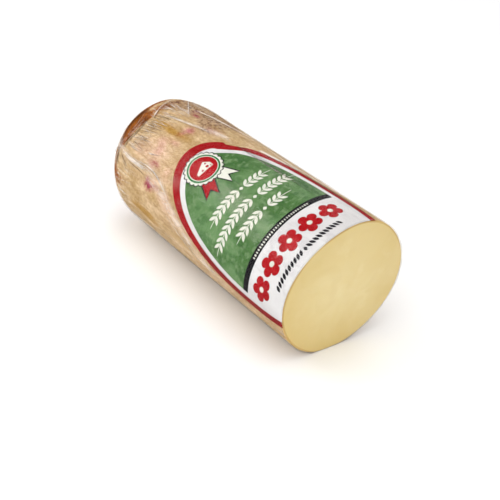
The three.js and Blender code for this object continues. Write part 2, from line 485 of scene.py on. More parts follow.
def grid_faces(rows, columns, first=0, closed=False, flipped=False):
    """The four-sided faces of rows of points; closed rows go on from their last column to their first."""
    steps = columns if closed else columns - 1
    row, column = np.meshgrid(np.arange(rows - 1), np.arange(steps), indexing="ij")
    here = first + row * columns + column
    beside = first + row * columns + (column + 1) % columns
    faces = np.stack([here, beside, beside + columns, here + columns], -1).reshape(-1, 4)
    return faces[:, ::-1] if flipped else faces


def fan_faces(tip, ring, flipped=False):
    """Three-sided faces that close a ring of points on one point."""
    faces = np.stack([ring, np.roll(ring, -1), np.full(len(ring), tip)], -1)
    return faces[:, ::-1] if flipped else faces


def edge_faces(one, other):
    """Four-sided faces from one ring of points to another."""
    return np.stack([one, other, np.roll(other, -1), np.roll(one, -1)], -1)


def joined_faces(*groups):
    """All the faces of some groups, and the slot of each face."""
    faces = [face for group, _ in groups for face in group.tolist()]
    slots = [slot for group, slot in groups for _ in group]
    return faces, slots


class Gathered:
    """Several small meshes on their way to becoming one, with a finish slot for each face."""

    def __init__(self):
        self.points = []
        self.faces = []
        self.slots = []
        self.count = 0

    def add(self, points, faces, slot=0):
        self.points.append(points)
        self.faces += [[self.count + corner for corner in face] for face in faces]
        self.slots += [slot] * len(faces)
        self.count += len(points)

    def piece(self, name, fields=None, finishes=()):
        return make_object(name, np.concatenate(self.points), self.faces, fields, self.slots, finishes)


# Node trees -------------------------------------------------------------------------------------


class Nodes:
    """A node tree that is put together node by node."""

    def __init__(self, tree):
        self.tree = tree
        tree.nodes.clear()

    def feed(self, socket, value):
        """Links an input to another node's output, or gives it a value of its own."""
        if isinstance(value, bpy.types.NodeSocket):
            self.tree.links.new(value, socket)
        else:
            socket.default_value = value

    def node(self, kind, *inputs, settings=None, **named):
        """A new node: its first inputs come in their order, and others by name, with _ for a space."""
        made = self.tree.nodes.new(kind)
        for name, value in (settings or {}).items():
            setattr(made, name, value)
        for socket, value in zip(made.inputs, inputs):
            self.feed(socket, value)
        for name, value in named.items():
            self.feed(made.inputs[name.replace("_", " ")], value)
        return made

    def math(self, operation, *values):
        return self.node("ShaderNodeMath", *values, settings={"operation": operation}).outputs[0]

    def plus(self, one, other):
        return self.math("ADD", one, other)

    def times(self, one, other):
        return self.math("MULTIPLY", one, other)

    def ramp(self, value, low, high, start=0.0, stop=1.0):
        """The value's way from low to high, softly, as start to stop."""
        soft = {"interpolation_type": "SMOOTHSTEP"}
        return self.node("ShaderNodeMapRange", value, low, high, start, stop, settings=soft).outputs[0]


def colour(red, green, blue):
    """A colour given as 0 to 255 on a screen, as Blender takes it."""
    channels = [((c / 255 + 0.055) / 1.055) ** 2.4 if c > 10.3 else c / 3295 for c in (red, green, blue)]
    return (*channels, 1)


WHITE_LIGHT = (1, 1, 1, 1)
FILM_TINT = (0.945, 0.94, 0.93, 1)
MIX_INPUTS = (0, 6, 7)  # a Mix node's share and its two colours
MIX_RESULT = 2  # the colour that comes out of it


class Finish(Nodes):
    """A material, with its patterns on the piece's own coordinates and on the fields of its mesh."""

    def __init__(self, name):
        self.material = bpy.data.materials.new(name)
        self.material.use_nodes = True
        super().__init__(self.material.node_tree)
        self.coordinates = self.node("ShaderNodeTexCoord").outputs["Object"]

    def field(self, name):
        return self.node("ShaderNodeAttribute", settings={"attribute_name": name}).outputs["Fac"]

    def blend(self, share, one, other, how="MIX"):
        """One colour where the share is 0 and the other where it is 1."""
        made = self.node("ShaderNodeMix", settings={"data_type": "RGBA", "blend_type": how})
        for index, value in zip(MIX_INPUTS, (share, one, other)):
            self.feed(made.inputs[index], value)
        return made.outputs[MIX_RESULT]

    def layered(self, tone, layers):
        """A colour with others laid over it in turn, each as far as its share says."""
        for share, over in layers:
            tone = self.blend(share, tone, over)
        return tone

    def darkened(self, tone, strength, pattern, shade):
        """A colour that is multiplied by a shade where a pattern is 0, and stays where that is 1."""
        return self.blend(strength, tone, self.blend(pattern, shade, WHITE_LIGHT), "MULTIPLY")

    def noise(self, scale, detail=3.0, stretch=(1, 1, 1), rough=0.5, twist=0.0):
        """Uneven grey from 0 to 1, in waves per metre; a stretch below 1 draws it out that way."""
        moved = self.node("ShaderNodeMapping", Vector=self.coordinates, Scale=stretch).outputs[0]
        made = self.node("ShaderNodeTexNoise", Vector=moved, Scale=scale, Detail=detail)
        self.feed(made.inputs["Roughness"], rough)
        self.feed(made.inputs["Distortion"], twist)
        return made.outputs[0]

    def bump(self, height, strength, depth, after=None):
        """A surface direction that follows a height, on top of another bump where there is one."""
        made = self.node("ShaderNodeBump", Height=height, Strength=strength, Distance=depth)
        if after is not None:
            self.feed(made.inputs["Normal"], after)
        return made.outputs[0]

    def surface(self, tone, roughness, **named):
        made = self.node("ShaderNodeBsdfPrincipled", Base_Color=tone, Roughness=roughness, **named)
        return made.outputs[0]

    def matte(self, tone, roughness, **named):
        """A surface that mirrors nothing, because the clear film over it does that."""
        return self.surface(tone, roughness, Specular_IOR_Level=0.0, **named)

    def clear(self, tint):
        return self.node("ShaderNodeBsdfTransparent", tint).outputs[0]

    def mixed(self, share, one, other):
        """One surface where the share is 0 and the other where it is 1."""
        return self.node("ShaderNodeMixShader", share, one, other).outputs[0]

    def done(self, surface):
        self.node("ShaderNodeOutputMaterial", surface)
        return self.material


class Growth(Nodes):
    """A Geometry Nodes tree with named inputs, which ends in Realize Instances and Set Material."""

    def __init__(self, name, inputs):
        super().__init__(bpy.data.node_groups.new(name, "GeometryNodeTree"))
        sockets = [("Geometry", "Geometry"), *inputs, ("Material", "Material")]
        for label, kind in sockets:
            self.tree.interface.new_socket(label, in_out="INPUT", socket_type="NodeSocket" + kind)
        self.tree.interface.new_socket("Geometry", in_out="OUTPUT", socket_type="NodeSocketGeometry")
        self.given = self.node("NodeGroupInput").outputs

    def end(self, geometry):
        realized = self.node("GeometryNodeRealizeInstances", Geometry=geometry).outputs[0]
        painted = self.node("GeometryNodeSetMaterial", Geometry=realized, Material=self.given["Material"])
        self.node("NodeGroupOutput", painted.outputs[0])
        return self.tree


def grow(carrier, tree, values):
    """The flat mesh that a tree makes on an object, as points and faces; the object is then removed."""
    modifier = carrier.modifiers.new(tree.name, "NODES")
    modifier.node_group = tree
    for item in tree.interface.items_tree:
        if item.in_out == "INPUT" and item.name in values:
            modifier[item.identifier] = values[item.name]
    carrier.update_tag()
    evaluated = carrier.evaluated_get(bpy.context.evaluated_depsgraph_get())
    mesh = bpy.data.meshes.new_from_object(evaluated)
    points = np.zeros(len(mesh.vertices) * 3, np.float32)
    mesh.vertices.foreach_get("co", points)
    faces = [list(face.vertices) for face in mesh.polygons]
    bpy.data.meshes.remove(mesh)
    bpy.data.objects.remove(carrier)
    return points.reshape(-1, 3).astype(float), faces


# The cheese -------------------------------------------------------------------------------------

CHEESE_COLUMNS = 300
RIM_ROUNDING = 1.1
FACE_BULGE = 0.5  # how far the middle of the cut face stands out
RIND_RISE = 0.3  # the most by which the rind's swell and folds lift it
RIND, PASTE = range(2)  # the slots of its finishes

# The smoked rind's patches, one table for each tone.
OCHRE_PATCHES = [
    (0.75, -30, 206, 5.5, 26),
    (0.5, -26, 184, 6, 16),
    (0.6, -103, 196, 7, 22),
    (0.45, -108, 172, 9, 14),
    # painted light: warm light thrown up onto the low left flank, as ochre
    (0.2, -112, 60, 9, 80),
    (0.3, -44, 214, 9, 10),
    (0.15, 50, 150, 20, 60),
    (0.2, 128, 120, 30, 110),
    (0.5, 88, 214, 22, 26),
]
SMOKE_PATCHES = [
    (0.5, -92, 222, 9, 18),
    (0.35, -22, 226, 10, 9),
    (0.4, 105, 226, 14, 14),
]
PALE_PATCHES = [
    (0.7, -57, 200, 9, 24),
    (0.65, -48, 191, 9, 16),
    # painted light: the low left flank lightened
    (0.4, -115, 60, 10, 90),
    (0.6, -66, 172, 6, 14),
    (0.45, -92, 120, 7, 50),
    (0.6, -4, 170, 6, 9),
    (0.15, 30, 60, 14, 90),
    (0.5, 64, 50, 12, 60),
    (0.4, 66, 190, 12, 30),
    # partly painted light: lightens the right flank, which the lamps leave dim
    (0.8, 90, 110, 20, 90),
    (0.1, 22, 180, 10, 40),
]
BLUSH_PATCHES = [
    (0.5, -64, 193, 5, 7),
    (0.5, -50, 195, 6, 6),
    (0.5, -42, 200, 5, 7),
    (0.5, -37, 189, 4, 8),
    (0.9, -22, 190, 9, 5.5),
    (0.4, -80, 150, 9, 22),
    (0.35, -54, 212, 9, 9),
    (0.4, -76, 180, 6, 9),
    (0.45, -4, 176, 5, 8),
    (0.4, -60, 168, 6, 8),
    (0.4, 92, 184, 12, 14),
]
STAIN_PATCHES = [
    (1.2, -79, 184.5, 4.2, 6.2),
    (0.7, -74.2, 188, 2.4, 4),
    (0.5, -76, 176, 2.0, 7),
    (0.7, -60.5, 188, 3.0, 6.5),
    (0.45, -19, 188, 4.6, 5),
    (0.5, -25, 192, 6, 4.4),
    (0.7, 0, 207, 3.4, 7),
    (0.4, 6, 212, 3, 4),
    (0.6, 96, 178, 5, 6),
    (0.3, 70, 200, 5, 5),
]

# Painted shadows on the rind under the closed end's folds: a path, a half width, and how dark it is.
RIND_PAINTED_SHADOWS = [
    ([(-68, 233.4), (-60, 232), (-52, 229.6), (-43, 230), (-34, 233)], 0.7, 0.9),
    ([(-84, 234), (-74, 240), (-64, 244), (-52, 247), (-38, 248), (-24, 247)], 3.0, 0.7),
    ([(-72, 233), (-75, 226), (-78, 219)], 1.6, 0.4),
    ([(112, 233.4), (104, 231), (93, 233)], 1.4, 0.35),
    ([(100, 243), (112, 246), (126, 243)], 2.4, 0.45),
]


def rind_finish():
    """Smoked rind: blotchy tan, ochre and brown where the smoke took, dark speckles, wine-pink stains and
    painted shadows under the closed end's folds.
    """
    finish = Finish("smoked rind")
    broad = finish.plus(finish.noise(26, 5, (1, 0.6, 1), twist=0.9), -0.5)
    blotch = finish.noise(95, 5, (1, 0.55, 1), twist=0.4)
    wander = finish.plus(finish.times(broad, 1.5), finish.plus(blotch, -0.5))
    leathery = finish.plus(finish.noise(260, 5, rough=0.6), -0.5)
    ochre = finish.plus(finish.field("ochre"), wander)
    taken = finish.plus(finish.times(wander, 0.45), finish.times(leathery, 0.9))
    smoke = finish.plus(finish.field("smoke"), taken)
    mottling = finish.ramp(finish.plus(finish.field("mottle"), finish.times(wander, 0.7)), 0.15, 0.9)
    specks = finish.ramp(finish.noise(420, 5, rough=0.6), 0.46, 0.64)
    ragged = finish.ramp(finish.noise(210, 4, twist=0.4), 0.34, 0.56)
    tan = finish.blend(finish.ramp(blotch, 0.36, 0.64), colour(204, 175, 129), colour(229, 203, 166))
    blush = finish.times(finish.field("blush"), finish.ramp(blotch, 0.35, 0.6))
    layers = [
        (finish.ramp(ochre, 0.25, 0.85), colour(196, 156, 84)),  # ochre
        (finish.ramp(smoke, 0.25, 0.85), colour(156, 90, 34)),  # smoked brown
        (finish.ramp(smoke, 0.85, 1.5), colour(98, 56, 24)),  # deepest smoke
        (finish.times(mottling, 0.4), colour(158, 122, 94)),  # the speckles' dull ground
        (finish.times(mottling, specks), colour(116, 73, 57)),  # speckles
        (finish.times(finish.field("pale"), 0.65), colour(242, 212, 192)),
        (blush, colour(226, 170, 168)),
        (finish.times(finish.field("stain"), ragged), colour(174, 60, 92)),
    ]
    smoked = finish.layered(tan, layers)
    streaks = finish.ramp(finish.noise(240, 4, (1, 0.12, 1), twist=0.4), 0.38, 0.6)
    grain = finish.ramp(finish.noise(430, 4, (1, 0.7, 1), 0.6), 0.38, 0.6)
    pores = finish.ramp(finish.noise(900, 3, rough=0.6), 0.3, 0.48)
    streaked = finish.darkened(smoked, 0.45, streaks, colour(216, 204, 186))
    grained = finish.darkened(streaked, 0.6, grain, colour(214, 202, 184))
    pored = finish.darkened(grained, 0.5, pores, colour(190, 168, 140))
    cloud = finish.ramp(finish.noise(22, 3), 0.3, 0.7)
    paste = finish.blend(cloud, colour(228, 206, 150), colour(222, 196, 136))
    # painted shadow under the closed end's folds, then the paste's colour near the cut
    painted_shadow_and_cut = [(finish.field("painted_shadow"), colour(60, 34, 16)), (finish.field("paste"), paste)]
    rind = finish.matte(
        finish.layered(pored, painted_shadow_and_cut),
        0.6,
        Normal=finish.bump(finish.noise(300, 4, (1, 0.4, 1)), 0.4, 0.0006),
        Subsurface_Weight=0.05,
        Subsurface_Radius=(1.0, 0.6, 0.3),
        Subsurface_Scale=0.002,
    )
    return finish.done(rind)


def paste_finish():
    """The cut face: dense cream paste, faintly clouded, yellower towards its thin rim, and darker low on the
    left as painted shade.
    """
    finish = Finish("cut cheese")
    cloud = finish.ramp(finish.noise(16, 3, twist=0.8), 0.32, 0.7)
    light = finish.ramp(finish.noise(60, 3), 0.5, 0.75)
    dim = finish.ramp(finish.noise(34, 4, twist=1.2), 0.5, 0.66)
    cream = finish.blend(cloud, colour(230, 211, 154), colour(225, 203, 140))
    layers = [
        (finish.times(light, 0.28), colour(240, 225, 176)),
        (finish.times(dim, 0.3), colour(220, 197, 134)),
        # yellowing towards the rim, with painted shade low on the left
        (finish.field("rim"), colour(206, 175, 92)),
        (finish.field("crust"), colour(186, 146, 70)),
    ]
    knife = finish.bump(finish.noise(90, 2, (1, 1, 0.08)), 0.12, 0.0012)
    paste = finish.surface(
        finish.layered(cream, layers),
        0.42,
        Normal=finish.bump(finish.noise(700, 2), 0.12, 0.0004, knife),
        Subsurface_Weight=0.25,
        Subsurface_Radius=(1.0, 0.7, 0.35),
        Subsurface_Scale=0.006,
    )
    return finish.done(paste)


def smoke_share(degrees, along, uneven, angle, distance):
    """How deeply the rind is smoked: most on the closed end, with a crisp edge under the long fold there."""
    edge = 233 + 1.4 * np.sin(np.radians(degrees * 3.4))
    soft = 2 + 12 * (1 - window(degrees, (-74, -66), (-32, -22)))
    smoke = (0.45 + 0.5 * uneven) * smooth(along, edge - soft, edge + soft) + 0.4 * smooth(along, 243, 254)
    smoke += patches(SMOKE_PATCHES, angle, distance)
    smoke *= 1 - 0.45 * window(degrees, (-42, -18), (0, 30)) * (1 - smooth(along, 242, 250))
    smoke -= 0.35 * window(degrees, (-34, -22), (4, 20)) * smooth(along, 240, 246)
    smoke += 0.45 * spot(angle, distance, -13, 237, 11, 6)
    return smoke + 0.25 * smooth(along, 232, 236) * window(degrees, (-76, -66), (-40, -20))


def mottle_share(degrees, along, uneven, angle, distance):
    """Where the rind is speckled dark: beside the label's top, and more faintly underneath."""
    wavy = degrees + 5 * ripples(angle, distance, count=10, around=4, along=0.12, seed=37)
    mottle = window(wavy, (-14, 0), (26, 50)) * (1 - 0.8 * smooth(along, 236, 250))
    mottle *= smooth(along, 152, 192) * (0.8 + 0.5 * uneven)
    mottle += 0.3 * smooth(np.abs(degrees), 100, 140) * uneven
    return mottle + 0.5 * spot(angle, distance, 30, 90, 13, 70)


def rind_fields(angle, distance):
    """The smoked rind's tones and its painted shadows, each from 0 to 1 or a little more."""
    along = wall_at(distance, "along")
    degrees = np.degrees(angle)
    off_pole = smooth(wall_at(distance, "radius"), 8, 45)
    waves = ripples(angle, distance, count=12, around=5, along=0.05, seed=31)
    uneven = 0.5 + 0.5 * waves * off_pole
    return {
        "painted_shadow": path_share(RIND_PAINTED_SHADOWS, angle, distance),
        "ochre": patches(OCHRE_PATCHES, angle, distance) + 0.3 * smooth(np.abs(degrees), 125, 150),
        "smoke": smoke_share(degrees, along, uneven, angle, distance),
        "mottle": mottle_share(degrees, along, uneven, angle, distance),
        "pale": patches(PALE_PATCHES, angle, distance),
        "blush": patches(BLUSH_PATCHES, angle, distance),
        "stain": patches(STAIN_PATCHES, angle, distance),
        "paste": 0.7 * (1 - smooth(distance, 0, 3)),
    }


def cut_fields(angle, share):
    """The cut face's yellowing towards its rim, painted shade that darkens it most low on the left, and the
    thin crust round it.
    """
    wobble = 0.012 * ripples(angle, 0 * share, count=9, around=9, along=0, seed=57)
    # painted shade: the cut face darker low on the left, away from the light
    painted_shade_low_left = np.clip(-0.5 * np.sin(angle + math.radians(20)) - 0.5 * np.cos(angle), 0, 1) * share
    yellowing_and_shade = 0.42 * smooth(share + wobble, 0.3, 1.15) + 0.3 * painted_shade_low_left
    return {"rim": yellowing_and_shade, "crust": 0.7 * smooth(share + 0.4 * wobble, 0.99, 1.0)}


def make_cheese():
    """One closed body: the cut face, its soft rim, and the rind all the way over the end."""
    face_angle, face = log_grid(CHEESE_COLUMNS, (0.04, 0.92, 26), (0.935, 1, 9))
    bend_angle, bend = log_grid(CHEESE_COLUMNS, (TURN / 24, 5 * TURN / 24, 5))
    angle, distance = log_grid(CHEESE_COLUMNS, (RIM_ROUNDING, 204, 122), (205.4, WALL_END - 1.5, 78))
    face_radius = NOMINAL_RADIUS + RIND_LIFT - RIM_ROUNDING
    bend_radius = face_radius + RIM_ROUNDING * np.sin(bend)
    raised = swell(angle, distance) + FOLD_IN_RIND * folds(angle, distance)[0]
    rows = [
        place(face_angle, face_radius * face, -FACE_BULGE * (1 - face**2), RIND_FLOOR),
        place(bend_angle, bend_radius, RIM_ROUNDING * (1 - np.cos(bend)), RIND_FLOOR),
        on_wall(angle, distance, RIND_LIFT + np.minimum(raised, RIND_RISE), RIND_FLOOR),
    ]
    face_tip = place(np.zeros(1), np.zeros(1), np.full(1, -FACE_BULGE), RIND_FLOOR)
    tips = [face_tip, end_tip(RIND_LIFT, RIND_FLOOR)]
    points = np.concatenate([row.reshape(-1, 3) for row in rows] + tips)
    cut_rows = len(face) + len(bend)
    count = cut_rows + len(distance)
    tip = count * CHEESE_COLUMNS
    ring = np.arange(CHEESE_COLUMNS)
    first_of_rind = cut_rows * CHEESE_COLUMNS
    faces, slots = joined_faces(
        (grid_faces(cut_rows + 1, CHEESE_COLUMNS, closed=True), PASTE),
        (grid_faces(count - cut_rows, CHEESE_COLUMNS, first_of_rind, closed=True), RIND),
        (fan_faces(tip, ring, flipped=True), PASTE),
        (fan_faces(tip + 1, tip - CHEESE_COLUMNS + ring), RIND),
    )
    # Every field ends in two numbers, for the middle of the cut face and the middle of the end.
    fields = {}
    for name, values in rind_fields(angle, distance).items():
        on_cut = np.tile(values[0], cut_rows)
        fields[name] = np.concatenate([on_cut, values.ravel(), [0, values[-1].mean()]])
    on_rind = np.ones(distance.size)
    cut_angle = np.concatenate([face_angle, bend_angle])
    cut_share = np.concatenate([face, np.ones(bend.shape)])
    for name, values in cut_fields(cut_angle, cut_share).items():
        fields[name] = np.concatenate([values.ravel(), on_rind, [0, 1]])
    return make_object("cheese_half_log", points, faces, fields, slots, [rind_finish(), paste_finish()])


# The label --------------------------------------------------------------------------------------

# The printed arches inside the label, each a half angle and a reach past the widest place, and the band.
WHITE_ARCH = (math.radians(59.4), 131.6)
GREEN_ARCH = (math.radians(55), 125)
BAND_START = 41.3
BAND_STOP = 47.2
PRINT_EDGE = 0.002  # how soft an arch's edge is, as a share of the arch
BAND_EDGE = 0.1

LABEL_COLUMNS = 150
LABEL_ROWS = 170
LABEL_LAST_ROW = 0.985  # the rows stop here, on a short straight edge
LABEL_KINK = math.radians(3.6)  # how far the right edge is pushed in near the top

# Painted shade on the label: dark lines and shadows under the film's long crease and along its outer edges.
LABEL_PAINTED_SHADOWS = [
    ([(-2.4, 152), (-1.4, 126), (0.2, 96), (2.4, 62), (3.4, 46)], 2.2, 0.42),
    ([(-4.4, 152), (-3.9, 128), (-2.6, 96), (-1, 50)], 0.45, 0.8),
    ([(6.4, 119), (9, 113), (12.4, 107)], 0.7, 0.9),
    ([(20, -10), (20.2, 20), (19.6, 50), (17, 84), (13, 110)], 2.4, 0.6),
    ([(-105, -10), (-108, 20), (-107.5, 45), (-102, 80), (-93, 108)], 3.4, 0.4),
    ([(-57, 70), (-56, 60), (-58.5, 49)], 0.45, 0.5),
    ([(-46, 65), (-45, 57), (-45.6, 49)], 0.4, 0.45),
    ([(-35, 114), (-33.6, 105), (-36, 96)], 0.45, 0.5),
    ([(-70, 64), (-71.6, 56), (-70.6, 49)], 0.4, 0.4),
    ([(-51, 116), (-48.6, 107), (-50, 99)], 0.4, 0.4),
    ([(-19.4, 92), (-21.8, 77), (-19, 60)], 0.45, 0.45),
    ([(-66, 95), (-62, 84), (-61, 74)], 0.4, 0.35),
    ([(-12, 118), (-10, 106), (-12, 96)], 0.4, 0.4),
    ([(-29, 62), (-27.4, 55), (-28, 49)], 0.4, 0.35),
]


def paper_finish():
    """The label's printed fields: a red border, a white line and ground, a green arch and a dark band, with
    painted shade over them.
    """
    finish = Finish("printed paper")
    along = finish.field("along")
    worn = finish.noise(240, 4)
    cloud = finish.noise(34, 5, (1, 0.6, 1), twist=0.7)
    ripple = finish.noise(130, 4, (1, 0.6, 1), twist=0.8)
    bright = finish.blend(finish.ramp(cloud, 0.3, 0.7), colour(232, 233, 237), colour(218, 217, 221))
    # The ripple pattern paints shade where the paper ripples: grey on the white ground, dark green on the
    # green.
    ripple_shade = finish.times(finish.ramp(ripple, 0.5, 0.66), 0.5)
    white = finish.blend(ripple_shade, bright, colour(205, 203, 209))
    red = finish.blend(finish.ramp(worn, 0.3, 0.8), colour(152, 10, 18), colour(172, 24, 32))
    leafy = finish.blend(finish.ramp(cloud, 0.35, 0.68), colour(74, 115, 62), colour(106, 145, 95))
    shadowed = finish.times(finish.ramp(ripple, 0.48, 0.64), 0.4)
    rubbed = finish.times(finish.ramp(worn, 0.46, 0.68), 0.5)
    green = finish.layered(leafy, [(shadowed, colour(46, 92, 48)), (rubbed, colour(136, 166, 122))])
    off_white = finish.ramp(finish.field("white_arch"), 1 - PRINT_EDGE, 1 + PRINT_EDGE)
    in_green = finish.ramp(finish.field("green_arch"), 1 - PRINT_EDGE, 1 + PRINT_EDGE, 1.0, 0.0)
    past_start = finish.ramp(along, BAND_START - BAND_EDGE, BAND_START + BAND_EDGE)
    before_stop = finish.ramp(along, BAND_STOP - BAND_EDGE, BAND_STOP + BAND_EDGE, 1.0, 0.0)
    arch = finish.times(in_green, past_start)
    layers = [(off_white, red), (arch, green), (finish.times(arch, before_stop), colour(22, 20, 26))]
    printed = finish.layered(white, layers)
    # painted shade: the print darkened towards deep blue-green where the label's painted shadows lie
    shadow_tone = finish.blend(0.75, printed, colour(12, 30, 26))
    shaded = finish.blend(finish.field("painted_shadow"), printed, shadow_tone)
    return finish.done(finish.matte(shaded, 0.45, Normal=finish.bump(finish.noise(900, 2), 0.1, 0.0002)))


def label_relief(angle, distance):
    """The label follows the log's swell, and a little of each fold in the film above it."""
    return swell(angle, distance) + FOLD_IN_LABEL * folds(angle, distance)[0]


def make_label():
    """The paper arch: front, back and a thin edge all round; it ends where along is still the distance."""
    row, across = np.meshgrid(
        np.linspace(0, LABEL_LAST_ROW, LABEL_ROWS), np.linspace(-1, 1, LABEL_COLUMNS), indexing="ij"
    )
    along = LABEL_LENGTH * np.sin(row * math.pi / 2)
    from_widest = (along - LABEL_WIDEST) / arch_length(along, LABEL_REACH)
    angle = arch_middle(along) + across * LABEL_HALF_ANGLE * np.sqrt(1 - from_widest**2)
    kinked = angle - LABEL_KINK * window(along, (132, 147), (151, 156.5)) * smooth(across, 0.3, 0.9)
    relief = label_relief(kinked, along)
    sides = [on_wall(kinked, along, lift + relief, PAPER_FLOOR) for lift in (PAPER_FRONT, PAPER_BACK)]
    corners = np.arange(along.size).reshape(along.shape)
    rim = np.concatenate([corners[0], corners[1:, -1], corners[-1, -2::-1], corners[-2:0:-1, 0]])
    faces, _ = joined_faces(
        (grid_faces(LABEL_ROWS, LABEL_COLUMNS), 0),
        (grid_faces(LABEL_ROWS, LABEL_COLUMNS, along.size, flipped=True), 0),
        (edge_faces(rim, rim + along.size), 0),
    )
    one_side = {
        "white_arch": arch_share(angle, along, *WHITE_ARCH),
        "green_arch": arch_share(angle, along, *GREEN_ARCH),
        "along": along,
        "painted_shadow": path_share(LABEL_PAINTED_SHADOWS, kinked, along),
    }
    fields = {name: np.tile(values.ravel(), 2) for name, values in one_side.items()}
    points = np.stack(sides).reshape(-1, 3)
    return make_object("paper_label", points, faces, fields, finishes=[paper_finish()])


# The print: shapes drawn flat in millimetres and then laid on the label ---------------------------

INK_THICKNESS = 0.02
INK_GAP = 0.02  # between the paper and the lowest ink
INK_LEVEL = 0.025  # from one level of ink to the next
WHITE, RED, DARK, GREEN = range(4)  # the slots of the inks


def ink_finish(name, main, worn):
    finish = Finish(name)
    share = finish.ramp(finish.noise(160, 4), 0.35, 0.75)
    return finish.done(finish.matte(finish.blend(share, main, worn), 0.42))


def oval_outline(half_width, half_height, fullness=2, corners=40):
    """A rounded shape: a fullness of 1 is a lozenge, 2 an oval and 5 nearly a bar."""
    turn = np.arange(corners) * TURN / corners
    x, y = np.cos(turn), np.sin(turn)
    reach = (np.abs(x) ** fullness + np.abs(y) ** fullness) ** (-1 / fullness)
    return np.stack([half_width * x * reach, half_height * y * reach], -1)


def scalloped_outline(radius, scallops):
    """A disc with small round scallops all round its edge."""
    turn = np.arange(scallops * 8) * TURN / (scallops * 8)
    reach = radius * (0.91 + 0.09 * np.abs(np.sin(turn * scallops / 2)))
    return np.stack([reach * np.cos(turn), reach * np.sin(turn)], -1)


def petalled_outline(half_width, half_height, petals):
    """A plump flower: its petals run into one another, with a notch between two."""
    turn = np.arange(petals * 14) * TURN / (petals * 14)
    reach = 0.62 + 0.38 * np.abs(np.sin(turn * petals / 2)) ** 0.6
    return np.stack([half_width * np.cos(turn) * reach, half_height * np.sin(turn) * reach], -1)


def leaf_outline(length, half_width):
    """A leaf from point to point, first its lower side and then its upper side."""
    lower = np.linspace(-1, 1, 12)
    across = np.concatenate([lower, lower[-2:0:-1]])
    side = np.concatenate([-np.ones(12), np.ones(10)])
    return np.stack([length / 2 * across, side * half_width * (1 - across**2)], -1)


def straight_outline(corners, spacing):
    """A shape with straight sides, with points along them."""
    points = []
    for here, there in zip(corners, corners[1:] + corners[:1]):
        here, there = np.array(here, float), np.array(there, float)
        steps = max(1, round(float(np.hypot(*(there - here))) / spacing))
        points += [here + (there - here) * i / steps for i in range(steps)]
    return np.array(points)


def turn_shape(outline, degrees):
    c, s = math.cos(math.radians(degrees)), math.sin(math.radians(degrees))
    return outline @ np.array([[c, s], [-s, c]])


def flat_shape(outline, middle=None, spacing=1.6):
    """A thin closed slab of ink, as points and faces, with rings of points that keep it close when bent."""
    centre = outline.mean(0) if middle is None else np.array(middle, float)
    spokes = outline - centre
    rings = max(1, math.ceil(float(np.hypot(*spokes.T).max()) / spacing))
    flat = np.concatenate([[centre], *(centre + spokes * (i + 1) / rings for i in range(rings))])
    top = np.column_stack([flat, np.full(len(flat), INK_THICKNESS)])
    bottom = np.column_stack([flat, np.zeros(len(flat))])
    ring = 1 + np.arange(len(outline))
    rim = len(flat) - len(outline) - 1 + ring
    faces, _ = joined_faces(
        (fan_faces(0, ring), 0),
        (grid_faces(rings, len(outline), 1, closed=True, flipped=True), 0),
        (fan_faces(len(flat), len(flat) + ring, flipped=True), 0),
        (grid_faces(rings, len(outline), len(flat) + 1, closed=True), 0),
        (edge_faces(rim, rim + len(flat)), 0),
    )
    return np.concatenate([top, bottom]), faces


def flat_object(name, shapes):
    """One mesh object from several flat shapes."""
    gathered = Gathered()
    for points, faces in shapes:
        gathered.add(points, faces)
    return gathered.piece(name)


def row_tree():
    """Repeats a motif along a straight row, each one drawn out a little differently."""
    sizes = [("Count", "Int"), ("Spacing", "Vector"), ("Start", "Vector")]
    widths = [("Least Width", "Float"), ("Most Width", "Float"), ("Seed", "Int")]
    row = Growth("printed row", [("Motif", "Object"), *sizes, *widths])
    given = row.given
    line = row.node("GeometryNodeMeshLine", Count=given["Count"], Start_Location=given["Start"])
    row.feed(line.inputs["Offset"], given["Spacing"])
    motif = row.node("GeometryNodeObjectInfo", Object=given["Motif"])
    width = row.node("FunctionNodeRandomValue", settings={"data_type": "FLOAT"})
    for index, label in ((2, "Least Width"), (3, "Most Width"), (8, "Seed")):
        row.feed(width.inputs[index], given[label])
    size = row.node("ShaderNodeCombineXYZ", width.outputs[1], 1.0, 1.0)
    spread = row.node(
        "GeometryNodeInstanceOnPoints",
        Points=line.outputs[0],
        Instance=motif.outputs["Geometry"],
        Scale=size.outputs[0],
    )
    return row.end(spread.outputs[0])


